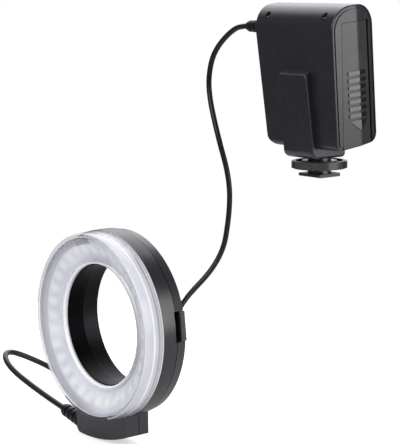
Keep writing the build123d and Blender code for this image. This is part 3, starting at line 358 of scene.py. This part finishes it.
def ring_housing_black():
    """Satin black with faint brushed streaks round the head, painted shade as a dark line along the parting
    line, and a dull bore painted dark as painted shade.
    """
    satin, sheen = (0.010, 0.010, 0.0125), (0.018, 0.018, 0.021)
    seam_shade_black, bore_shade_black = (0.001, 0.001, 0.001), (0.0035, 0.0035, 0.004)
    made, nodes, shader = material("ring_housing_black", (0.012, 0.012, 0.014))
    place = nodes.add("ShaderNodeGroup", node_tree=RING)
    turn = nodes.math("MULTIPLY", place.outputs["Turn"], 14.0)
    depth = nodes.math("MULTIPLY", place.outputs["Depth"], 3.0)
    around = nodes.add("ShaderNodeCombineXYZ", {"X": turn, "Y": depth})
    streak = nodes.noise(around.outputs["Vector"], 6.0, detail=4.0, roughness=0.65)
    grain = nodes.add("ShaderNodeGroup", node_tree=GRAIN)
    # Painted shade: the bore inside the head is made darker and dull, as the shade inside it.
    inside = nodes.range(place.outputs["Radius"], BORE_RADIUS, BORE_RADIUS - 0.5)
    # Painted shade: a dark band along the parting line between the housings, where the seam's shadow falls.
    line = nodes.band(place.outputs["Depth"], SEAM_FRONT, SEAM_BACK, 0.1)
    outer = nodes.mix(line, nodes.mix(nodes.range(streak, 0.35, 0.7), satin, sheen), seam_shade_black)
    nodes.feed(shader.inputs["Base Color"], nodes.mix(inside, outer, bore_shade_black))
    nodes.feed(shader.inputs["Metallic"], nodes.math("MAXIMUM", inside, nodes.math("MULTIPLY", line, 0.85)))
    gloss, dull = nodes.math("MULTIPLY_ADD", streak, 0.14, 0.24), nodes.math("MULTIPLY", inside, 0.5)
    nodes.feed(shader.inputs["Roughness"], nodes.math("MAXIMUM", gloss, dull))
    nodes.relief(shader, nodes.math("MULTIPLY_ADD", grain.outputs["Height"], 0.3, streak), 0.12)
    return made


def door_black(name, colour, lighter, roughness):
    """The door's grained plastic, with polished tops on the ribs that stand proud of its two facets, and
    the ribs painted lighter on the front facet and darker on the rear facet as painted light and shade.
    """
    front_rib_lit, rear_rib_shaded = (0.036, 0.036, 0.039), (0.006, 0.006, 0.007)
    made, nodes, shader = material(name, colour)
    lean = Matrix.Rotation(math.radians(LEAN), 3, "X")
    turn = lean @ Matrix.Rotation(math.atan(DOOR_TAPER), 3, "Y")
    start = lean @ Vector(DOOR_SIDE)
    place = nodes.point()
    out, back = (
        nodes.math("MULTIPLY_ADD", nodes.along(place, tuple(way)), PER_METRE, -way.dot(start))
        for way in (turn.col[0], turn.col[1])
    )
    behind = nodes.math("SUBTRACT", back, CREASE)
    front_drop, rear_drop = (nodes.math("MULTIPLY", behind, slope) for slope in (-FRONT_SLOPE, REAR_SLOPE))
    proud = nodes.range(nodes.math("ADD", out, nodes.math("MAXIMUM", front_drop, rear_drop)), 0.15, 0.35)
    grain = nodes.add("ShaderNodeGroup", node_tree=GRAIN)
    nodes.feed(grain.inputs["Handling"], 0.1)
    skin = nodes.mix(nodes.range(grain.outputs["Tone"], 0.35, 0.7), colour, lighter)
    # Painted light and shade: the ribs are lighter on the front facet and darker on the rear facet.
    rib_light_and_shade = nodes.mix(nodes.range(behind, -0.1, 0.1), front_rib_lit, rear_rib_shaded)
    nodes.feed(shader.inputs["Base Color"], nodes.mix(proud, skin, rib_light_and_shade))
    gloss = nodes.math("ADD", grain.outputs["Gloss"], roughness)
    nodes.feed(shader.inputs["Roughness"], nodes.math("MULTIPLY_ADD", proud, -0.18, gloss))
    nodes.relief(shader, grain.outputs["Height"], 0.07)
    return made


def spot_distance(nodes, turn, radius):
    """Millimetres to the middle of the nearest diode."""
    shift = 0.5 + LED_COUNT * (1 - LED_TURN / 360)
    step = nodes.math("FRACT", nodes.math("MULTIPLY_ADD", turn, LED_COUNT, shift))
    across = nodes.math("MULTIPLY", nodes.math("SUBTRACT", step, 0.5), 2 * math.pi * LED_CIRCLE / LED_COUNT)
    outward = nodes.math("SUBTRACT", radius, LED_CIRCLE)
    return nodes.length(across, outward)


def frosted_face():
    """Moulded face, clear in front and frosted behind, with a white lip, painted glow as pale spots over
    the diodes, and painted shade on the left of its outer band and over the upper and right clips.
    """
    # Where each soft edge begins and where it is full, in millimetres from the axis, a diode or a clip
    lip, left_shade_band, clip_start = (34.9, 34.3), (44.6, 46.2), (44.6, 45.0)
    spot_glow_reach, clip_side = (3.9, 0.9), (6.9, 6.5)
    made, nodes, shader = material("frosted_face", (0.74, 0.75, 0.82), ior=1.49)
    place = nodes.add("ShaderNodeGroup", node_tree=RING)
    radius, depth = place.outputs["Radius"], place.outputs["Depth"]
    point = nodes.point()
    right = nodes.along(point, (1.0, 0.0, 0.0))
    height = nodes.along(point, (0.0, 0.0, 1.0))

    inward = nodes.math("SUBTRACT", LED_CIRCLE, radius)
    inner, outer = (nodes.math("MULTIPLY", inward, slope) for slope in (DISH_INNER_SLOPE, DISH_OUTER_SLOPE))
    middle = nodes.math("ADD", nodes.math("MAXIMUM", inner, outer), DISH_DEPTH)
    behind = nodes.range(nodes.math("SUBTRACT", depth, middle), -0.2, 0.2)

    cloudy = nodes.range(nodes.noise(point, 42.0, detail=3.0), 0.38, 0.62)
    field = nodes.mix(cloudy, (0.72, 0.73, 0.81), (0.84, 0.85, 0.91))
    # Painted glow: pale soft spots over each diode.
    painted_glow = nodes.range(spot_distance(nodes, place.outputs["Turn"], radius), *spot_glow_reach)
    field = nodes.mix(nodes.math("MULTIPLY", painted_glow, 0.8), field, (0.99, 0.995, 0.96))
    # Painted shade: the outer band is darker grey on the left half of the ring and paler on the right.
    edge = nodes.mix(nodes.range(right, -0.022, 0.012), (0.50, 0.505, 0.57), (0.76, 0.765, 0.83))
    field = nodes.mix(nodes.range(radius, *left_shade_band), field, edge)

    near_clip = nodes.range(place.outputs["Clip"], *clip_side)
    right_clips = nodes.range(right, -0.022, -0.018)
    upper_clips = nodes.range(height, RING_AXIS - 0.032, RING_AXIS - 0.028)
    clip = nodes.product(near_clip, right_clips, upper_clips, nodes.range(radius, *clip_start))
    # Painted shade: a faint dark tint over the upper and right clips behind the face.
    field = nodes.mix(nodes.math("MULTIPLY", clip, 0.2), field, (0.25, 0.255, 0.29))
    field = nodes.mix(nodes.range(radius, *lip), field, (0.97, 0.97, 0.98))
    nodes.feed(shader.inputs["Base Color"], field)

    veil = nodes.ramp(radius, [
        (33.0, 1.0), (34.4, 1.0), (35.0, 0.6), (37.0, 0.16), (47.5, 0.13), (49.0, 0.2),
    ])
    frost = nodes.math("MULTIPLY_ADD", clip, -0.32, nodes.range(radius, 47.0, 48.6, 0.86, 0.7))
    nodes.feed(shader.inputs["Alpha"], nodes.math("MAXIMUM", nodes.product(frost, behind), veil))
    nodes.feed(shader.inputs["Roughness"], nodes.math("MULTIPLY_ADD", cloudy, 0.1, 0.22))
    ridge_pitch = 0.5
    ridges = nodes.math("SINE", nodes.math("MULTIPLY", radius, 2 * math.pi / ridge_pitch))
    nodes.relief(shader, ridges, 0.12)
    return made


def tray_white():
    """The white tray under the face, painted paler round the diode windows as a painted glow."""
    window_glow_reach = (5.0, 2.8)
    made, nodes, shader = material("tray_white", (0.8, 0.81, 0.86), roughness=0.4)
    place = nodes.add("ShaderNodeGroup", node_tree=RING)
    cloud = nodes.noise(nodes.point(), 60.0, detail=3.0)
    field = nodes.mix(nodes.range(cloud, 0.38, 0.62), (0.78, 0.785, 0.83), (0.86, 0.865, 0.90))
    # Painted glow: the tray turns paler round each diode window.
    painted_glow = nodes.range(spot_distance(nodes, place.outputs["Turn"], place.outputs["Radius"]), *window_glow_reach)
    nodes.feed(shader.inputs["Base Color"], nodes.mix(painted_glow, field, (0.97, 0.97, 0.94)))
    nodes.relief(shader, cloud, 0.05)
    return made


def clear_wall():
    """Clear wall: pale, with painted highlights as white lines at its front rim and round it, grey lines
    round it at set depths, turned lines in relief, and dark over the block.
    """
    pale, soft, white = (0.72, 0.725, 0.79), (0.86, 0.865, 0.91), (0.97, 0.97, 0.98)
    grey, dark = (0.36, 0.36, 0.41), (0.012, 0.012, 0.014)
    block_left, block_right, block_top = -0.025, 0.0155, RING_AXIS - 0.030
    front_edge, block_start = (0.45, 0.25), (49.35, 49.6)
    made, nodes, shader = material("clear_wall", (0.8, 0.8, 0.84), ior=1.49)
    place = nodes.add("ShaderNodeGroup", node_tree=RING)
    radius, depth = place.outputs["Radius"], place.outputs["Depth"]
    point = nodes.point()
    # Painted highlights: the white bands round the wall at 5.5 to 6.0 mm and from 10.9 mm deep.
    side = nodes.ramp(depth, [
        (0.0, pale), (5.3, pale), (5.5, white), (6.0, white), (6.2, soft), (8.3, soft), (8.6, grey),
        (9.1, grey), (9.4, soft), (10.1, soft), (10.3, grey), (10.6, grey), (10.9, white), (13.5, white),
    ])
    cover = nodes.ramp(depth, [
        (0.0, 0.5), (0.5, 0.62), (5.3, 0.62), (5.5, 0.85), (6.0, 0.85), (6.2, 0.6), (8.3, 0.55),
        (8.6, 0.7), (9.1, 0.7), (9.4, 0.45), (10.1, 0.45), (10.3, 0.7), (10.9, 0.85), (13.5, 0.85),
    ])
    # Painted highlight: the front rim is more opaque towards its outer and inner edges, so its white line
    # shows.
    outer_rim_highlight = nodes.range(radius, 50.5, 50.9, 0.16, 0.8)
    inner_rim_highlight = nodes.range(radius, 49.4, 49.0, 0.16, 0.7)
    front = nodes.range(depth, *front_edge)

    apart = nodes.add("ShaderNodeSeparateXYZ", {"Vector": point})
    across = nodes.band(apart.outputs["X"], block_left, block_right, 0.001)
    low = nodes.range(apart.outputs["Z"], block_top, block_top - 0.004)
    block = nodes.product(across, low, nodes.range(radius, *block_start))
    side = nodes.mix(block, side, dark)
    # The front rim is painted white as a painted highlight, and dark where the block lies behind.
    nodes.feed(shader.inputs["Base Color"], nodes.mix(front, side, nodes.mix(block, white, dark)))

    edges = nodes.math("MAXIMUM", outer_rim_highlight, inner_rim_highlight)
    rim = nodes.math("MAXIMUM", edges, nodes.math("MULTIPLY", block, 0.85))
    beside = nodes.product(cover, nodes.math("SUBTRACT", 1.0, front))
    nodes.feed(shader.inputs["Alpha"], nodes.math("ADD", beside, nodes.product(rim, front)))
    flow = nodes.noise(point, 120.0)
    nodes.feed(shader.inputs["Roughness"], nodes.math("MULTIPLY_ADD", flow, 0.1, 0.04))
    turns = {"W": nodes.math("MULTIPLY", depth, 2.4), "Scale": 1.0, "Detail": 2.0}
    lines = nodes.add("ShaderNodeTexNoise", turns, noise_dimensions="1D")
    nodes.relief(shader, lines.outputs["Fac"], 0.35)
    return made


# New pieces


def cord_piece(finish):
    """The cord as one smooth curve over the part's own corner points, in millimetres here."""
    corners = [
        (-48.84, -13.59, 89.01), (-52.84, -13.59, 89.01), (-62.6, -13.6, 87.3), (-77.4, -13.8, 77.1),
        (-85.7, -13.9, 65.7), (-89, -13.5, 47.5), (-76, -16.5, 20), (-69.5, -12.5, -6.5),
        (-70.5, -11.5, -29), (-74, -15.5, -60), (-85.7, -43, -87.9), (-62.6, -66, -102.1),
        (-44.8, -90, -118.7), (-37.7, -112, -128.2), (-53.4, -124, -132.9), (-80.3, -124, -127.3),
        (-102.4, -122, -122), (-113, -125, -117.5), (-120.5, -149.5, -104.5), (-101.5, -161.5, -109.5),
        (-73.92, -155.3, -122.09), (-48.31, -155.3, -126.6),
    ]
    radius = 1.7
    curve = bpy.data.curves.new("cord_line", "CURVE")
    curve.dimensions = "3D"
    curve.bevel_depth = radius * MM
    curve.bevel_resolution = 6
    curve.resolution_u = 16
    line = curve.splines.new("NURBS")
    line.points.add(len(corners) - 1)
    line.points.foreach_set("co", np.array([(x * MM, y * MM, z * MM, 1) for x, y, z in corners]).ravel())
    line.order_u = 3
    line.use_endpoint_u = True
    line.use_smooth = True
    curve.materials.append(finish)
    piece = placed(bpy.data.objects.new("cord_flex", curve))
    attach(piece, "unit_and_head")
    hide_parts("cord")


def cover_pieces():
    """The clear moulding in two finishes: its frosted dish and its clear outer wall."""
    dish = rounded_profile([
        (48.9, 0.45, 0.5), (48.2, 0.35, 0.8), (42.0, 2.5, 5.0), (34.2, 6.9, 0.6), (33.8, 7.2, 0.3),
        (33.8, 9.3, 0), (35.3, 9.3, 0), (35.3, 8.4, 0.4), (42.3, 4.6, 5.0), (48.3, 2.3, 0.6),
    ])
    wall = rounded_profile([
        (51.95, 11.5, 0), (51.1, 0.0, 1.0), (48.9, 0.1, 0.6), (48.7, 2.4, 0.4), (49.8, 3.4, 0.4),
        (49.8, 13.5, 0), (50.85, 13.5, 0), (50.85, 11.5, 0),
    ])
    for piece in (turned("cover_face", dish, frosted_face()), turned("cover_wall", wall, clear_wall())):
        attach(piece, "unit_and_head")
        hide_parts("diffuser_cover")


# Finishes of the CAD nodes


def dress():
    """Gives every CAD node its finish, apart from the cord, which cord_piece replaces."""
    case = moulded("case_black", (0.0145, 0.0140, 0.0185), (0.0185, 0.0180, 0.0225), 0.28, bump=0.06)
    door = door_black("door_black", (0.020, 0.020, 0.022), (0.026, 0.026, 0.028), 0.30)
    ring_black = ring_housing_black()
    button = moulded("button_black", (0.010, 0.010, 0.012), (0.016, 0.016, 0.018), 0.42)
    wheel = moulded("wheel_black", (0.034, 0.034, 0.037), (0.046, 0.046, 0.050), 0.36)
    keys = moulded("key_grey", (0.045, 0.045, 0.048), (0.055, 0.055, 0.058), 0.35, bump=0.04)
    panel = moulded("panel_black", (0.008, 0.008, 0.009), (0.012, 0.012, 0.013), 0.2, bump=0.02)
    sleeve = rubber("sleeve_rubber", (0.007, 0.007, 0.008), (0.012, 0.012, 0.013), 0.34)
    tray = tray_white()
    white = moulded("white_plastic", (0.80, 0.81, 0.84), (0.86, 0.87, 0.88), 0.4, bump=0.03)
    board = moulded("board_white", (0.78, 0.78, 0.80), (0.84, 0.84, 0.85), 0.35, bump=0.03)
    green = moulded("board_green", (0.010, 0.055, 0.028), (0.016, 0.075, 0.036), 0.3, bump=0.03)
    # Painted light: the diodes are off, yet a faint emission makes them glow in their windows.
    diode = moulded("diode_white_painted_glow", (0.94, 0.94, 0.88), (0.98, 0.98, 0.92), 0.3, bump=0.02,
                    emission_color=(1, 1, 0.96, 1), emission_strength=0.12)
    component = moulded("component_black", (0.02, 0.02, 0.024), (0.03, 0.03, 0.034), 0.4)
    jacket = moulded("cell_jacket", (0.16, 0.16, 0.18), (0.22, 0.22, 0.24), 0.3, bump=0.03)
    foot = turned_metal("foot_black", (0.06, 0.06, 0.064), (0.09, 0.09, 0.095), 0.35)
    anodised = turned_metal("adapter_black", (0.008, 0.008, 0.009), (0.016, 0.016, 0.017), 0.42)
    steel = turned_metal("steel_plain", (0.55, 0.55, 0.56), (0.66, 0.66, 0.67), 0.3)
    brass = turned_metal("contact_brass", (0.75, 0.58, 0.28), (0.83, 0.66, 0.35), 0.28)
    finishes = {
        case: ("unit_front_shell", "unit_rear_shell", "battery_tray"),
        door: ("battery_door",),
        ring_black: ("head_front_housing", "head_rear_housing"),
        button: ("release_slide_right", "release_slide_left"),
        wheel: ("locking_wheel",),
        keys: ("power_key", "mode_key", "test_key", "plus_key", "minus_key"),
        panel: ("control_panel",),
        sleeve: ("unit_strain_relief", "head_strain_relief"),
        tray: ("reflector_ring",),
        white: ("level_lamps", "diffuser_cover"),
        board: ("led_board",),
        green: ("main_board", "control_board"),
        diode: ("leds",),
        component: ("tact_switches", "capacitor"),
        jacket: ("battery_cells",),
        foot: ("shoe_foot", "pressure_plate"),
        anodised: ("adapter_ring",),
        steel: ("unit_screws", "head_screws", "door_pin", "pin_spring", "release_springs"),
        brass: ("sync_pin", "cell_contacts", "door_contacts"),
    }
    for finish, names in finishes.items():
        for name in names:
            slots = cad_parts[name].data.materials
            slots.clear()
            slots.append(finish)


# Studio


def floor():
    """A pale round table just below the part: x = r cos t + a, y = r sin t + b, at one level."""
    grey, white = (0.6, 0.6, 0.6), (1, 1, 1, 1)
    made, nodes, shader = material("floor_pale", grey, roughness=0.8, emission_color=white)
    cloud = nodes.noise(nodes.point(), 3.0)
    nodes.feed(shader.inputs["Base Color"], nodes.mix(cloud, (0.68, 0.68, 0.685), (0.71, 0.71, 0.71)))
    seen = nodes.add("ShaderNodeLightPath").outputs["Is Camera Ray"]
    nodes.feed(shader.inputs["Emission Strength"], nodes.math("MULTIPLY", seen, 0.55))
    rows, columns = 8, 96
    radii = np.linspace(0.001, FLOOR_RADIUS, rows)
    r, t = np.meshgrid(radii, np.linspace(0, 2 * np.pi, columns, endpoint=False), indexing="ij")
    level = np.full_like(r, cad_box[0].z - FLOOR_GAP)
    points = np.stack([r * np.cos(t) + FLOOR_MIDDLE[0], r * np.sin(t) + FLOOR_MIDDLE[1], level], -1)
    mesh_piece("floor", points, grid_faces(rows, columns), made, smooth=False)


def area_light(name, place, target, size, power):
    """A soft rectangular light that faces a point."""
    lamp = bpy.data.lights.new(name, "AREA")
    lamp.shape = "RECTANGLE"
    lamp.size, lamp.size_y = size
    lamp.energy = power
    holder = placed(bpy.data.objects.new(name, lamp))
    holder.location = place
    holder.rotation_mode = "QUATERNION"
    holder.rotation_quaternion = (Vector(target) - Vector(place)).to_track_quat("-Z", "Y")


def studio():
    """Soft boxes high behind the part, before the ring and at the door's side, in dark surroundings."""
    world = bpy.data.worlds.new("studio")
    bpy.context.scene.world = world
    world.use_nodes = True
    nodes = Sheet(world.node_tree)
    way = nodes.add("ShaderNodeTexCoord").outputs["Generated"]
    high_behind = nodes.range(nodes.along(way, (-0.45, 0.50, 0.74)), 0.60, 0.97)
    left_half = nodes.range(nodes.along(way, (1.0, 0.0, 0.0)), 0.08, -0.12)
    around = nodes.mix(nodes.product(high_behind, left_half), (0.17, 0.17, 0.18), (2.5, 2.48, 2.6))
    seen = nodes.add("ShaderNodeLightPath").outputs["Is Camera Ray"]
    back = world.node_tree.nodes["Background"]
    nodes.feed(back.inputs["Color"], nodes.mix(seen, around, (1.0, 1.0, 1.0)))
    nodes.feed(back.inputs["Strength"], 1.0)
    area_light("key_light", (0.295, -1.005, 0.68), target=(0.0, -0.12, -0.03), size=(0.8, 0.8), power=11.5)
    area_light("side_light", (0.94, 0.342, 0.19), target=(0.03, 0.0, 0.05), size=(0.9, 0.68), power=8.4)


def camera():
    """The camera at the photograph's place, with a long lens."""
    turn, rise, roll = (math.radians(angle) for angle in (CAMERA_TURN, CAMERA_RISE, CAMERA_ROLL))
    back = Vector((math.sin(turn) * math.cos(rise), -math.cos(turn) * math.cos(rise), math.sin(rise)))
    right = (-back).cross(Vector((0, 0, 1))).normalized()
    up = right.cross(-back)
    level = math.cos(roll) * right + math.sin(roll) * up
    upright = -math.sin(roll) * right + math.cos(roll) * up
    lens = bpy.data.cameras.new("camera")
    lens.sensor_width = 36.0
    lens.lens = CAMERA_LENS
    lens.clip_start = 0.05
    lens.clip_end = 30.0
    holder = placed(bpy.data.objects.new("camera", lens))
    rows = [(level[i], upright[i], back[i], CAMERA_PLACE[i]) for i in range(3)]
    holder.matrix_world = Matrix((*rows, (0, 0, 0, 1)))
    bpy.context.scene.camera = holder


dress()
cover_pieces()
cord_piece(rubber("cord_rubber", (0.008, 0.008, 0.010), (0.013, 0.013, 0.015), 0.30))
floor()
studio()
camera()
bpy.context.scene.view_settings.view_transform = "Standard"

bpy.context.view_layer.update()
